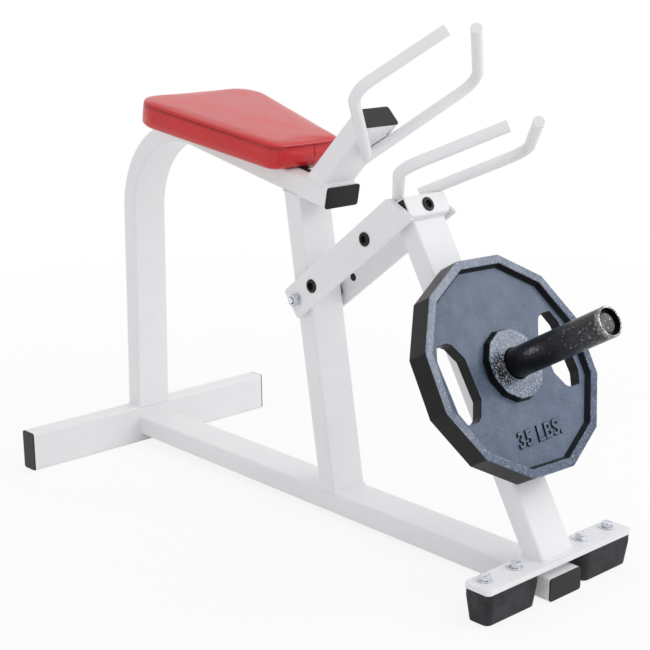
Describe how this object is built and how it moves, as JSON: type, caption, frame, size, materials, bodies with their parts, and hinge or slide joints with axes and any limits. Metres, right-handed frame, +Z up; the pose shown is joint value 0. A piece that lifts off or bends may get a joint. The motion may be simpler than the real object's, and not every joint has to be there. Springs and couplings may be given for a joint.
{
  "type": "arm wrestling trainer machine",
  "caption": "Welded tube bench with a tapered straddle pad, fixed angled handles and a hinged lever that carries matching handles and a weight plate on a horn.",
  "frame": {"origin": "on the floor, at the middle of the machine's length and width", "axes": "+X to the front, where the weight horn points; +Y across the machine to its left as the seated user looks; +Z up"},
  "size_m": [1.1898, 0.584, 0.8693],
  "materials": {
    "white_powder_coat": "satin white powder coat, faint orange peel",
    "black_plastic": "moulded black plastic, semi-gloss",
    "black_steel": "black paint, chipped and rubbed",
    "red_vinyl": "red upholstery vinyl, soft sheen",
    "plywood": "unfinished plywood",
    "zinc_steel": "bright zinc plate",
    "turned_steel": "turned steel, lightly oiled",
    "painted_iron": "blue-grey enamel, worn on the raised edges",
    "black_rubber": "matte black rubber, dusty"
  },
  "bodies": {
    "frame": {"rear_cross_tube": "white_powder_coat", "cross_tube_cap_near": "black_plastic", "cross_tube_cap_far": "black_plastic", "base_tube": "white_powder_coat", "base_tube_cap": "black_plastic", "seat_frame_tube": "white_powder_coat", "seat_beam_cap": "black_plastic", "upright": "white_powder_coat", "inclined_post": "white_powder_coat", "inclined_post_cap": "black_plastic", "upper_handle_near": "white_powder_coat", "upper_handle_far": "white_powder_coat", "seat_pad": "red_vinyl", "pad_board": "plywood", "pad_bracket_rear": "black_steel", "pad_bracket_front": "black_steel", "pad_bolt_rear": "zinc_steel", "pad_bolt_front": "zinc_steel", "pad_bracket_screw": "zinc_steel", "pivot_bolt": "zinc_steel", "pivot_nut": "zinc_steel", "pivot_washer_near": "zinc_steel", "pivot_washer_far": "zinc_steel", "pivot_bush_near": "turned_steel", "pivot_bush_far": "turned_steel"},
    "lever": {"arm_plate_near": "white_powder_coat", "arm_plate_far": "white_powder_coat", "arm_plug_near_rear": "black_plastic", "arm_plug_near_front": "black_plastic", "arm_plug_far_rear": "black_plastic", "arm_plug_far_front": "black_plastic", "lever_post": "white_powder_coat", "top_block": "white_powder_coat", "block_front_plug": "black_plastic", "block_cap_near": "black_plastic", "block_cap_far": "black_plastic", "lower_handle_near": "white_powder_coat", "lower_handle_far": "white_powder_coat", "weight_horn": "black_steel", "horn_stop_collar": "black_steel", "horn_end_disc": "black_steel", "foot_plate": "white_powder_coat", "rubber_foot_near": "black_rubber", "rubber_foot_far": "black_rubber", "foot_bolt_near_inner": "zinc_steel", "foot_bolt_near_outer": "zinc_steel", "foot_bolt_far_inner": "zinc_steel", "foot_bolt_far_outer": "zinc_steel", "foot_washer_near_inner": "zinc_steel", "foot_washer_near_outer": "zinc_steel", "foot_washer_far_inner": "zinc_steel", "foot_washer_far_outer": "zinc_steel"},
    "weight": {"weight_plate": "painted_iron"}
  },
  "joints": [
    {"name": "lever_hinge", "type": "hinge", "parent": "frame", "child": "lever", "pos_m": [-0.04568, 0, 0.39079], "axis": [0, -1, 0], "range_deg": [0, 15]},
    {"name": "plate_slide", "type": "slide", "parent": "lever", "child": "weight", "axis": [0.8704, 0, 0.4924], "range_m": [0, 0.19]}
  ]
}
